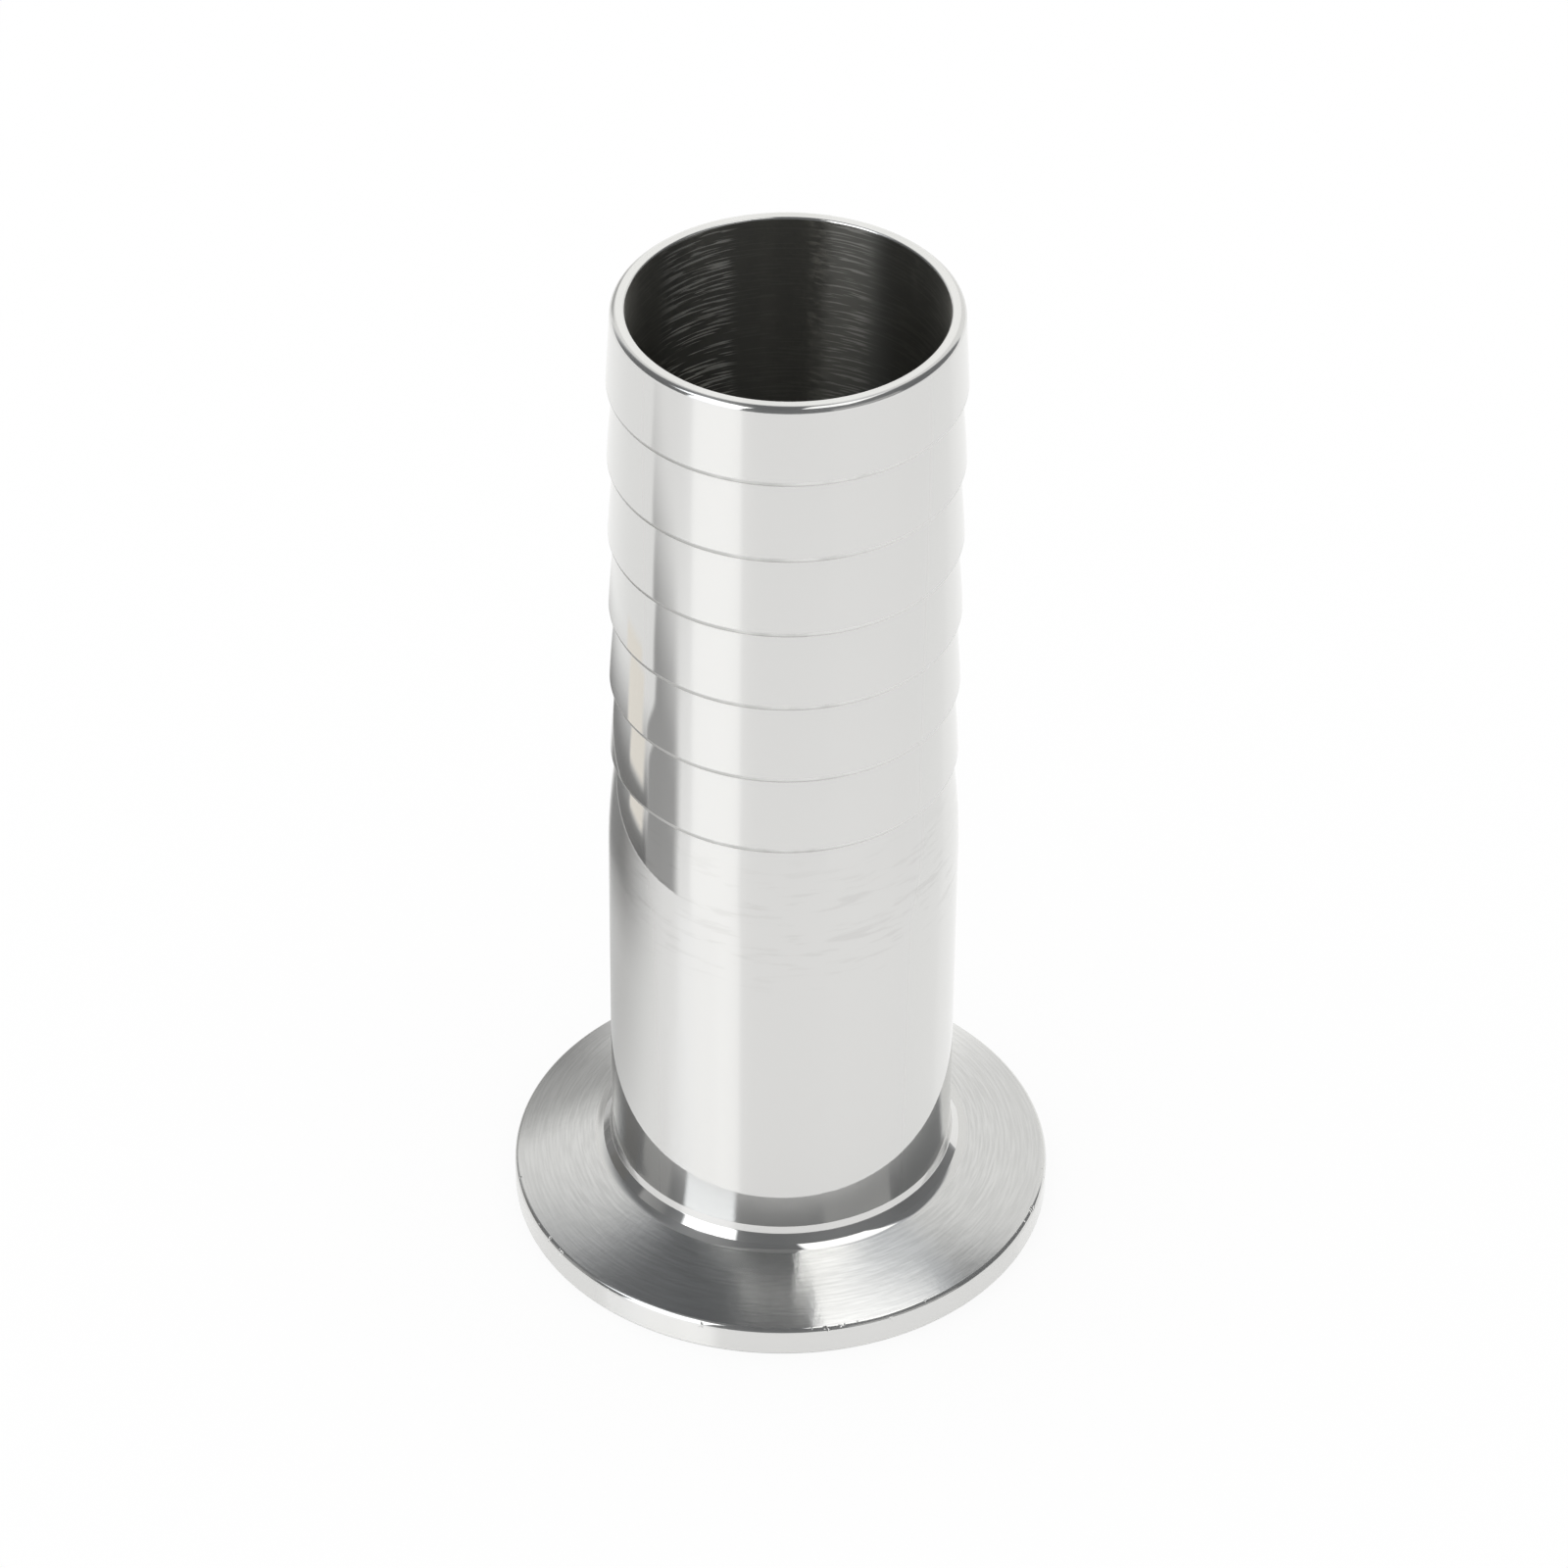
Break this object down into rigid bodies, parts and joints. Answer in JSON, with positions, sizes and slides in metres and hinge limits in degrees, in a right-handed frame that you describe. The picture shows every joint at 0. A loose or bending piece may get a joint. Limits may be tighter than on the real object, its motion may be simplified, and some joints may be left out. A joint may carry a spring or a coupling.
{
  "type": "sanitary clamp hose barb",
  "caption": "Polished stainless steel adapter: a clamp flange with a gasket groove at one end, a smooth shank and a barbed tube for a hose at the other, with a straight bore.",
  "frame": {"origin": "centre of the clamp face, on the axis of the bore", "axes": "+Z along the bore, from the clamp face to the tip of the hose end; X and Y lie in the clamp face"},
  "size_m": [0.0506, 0.0504, 0.099],
  "materials": {
    "polished_steel": "polished stainless steel, with fine turning marks round the flange's back and in the bore"
  },
  "bodies": {
    "root": {"hose_barb": "polished_steel"}
  },
  "joints": []
}
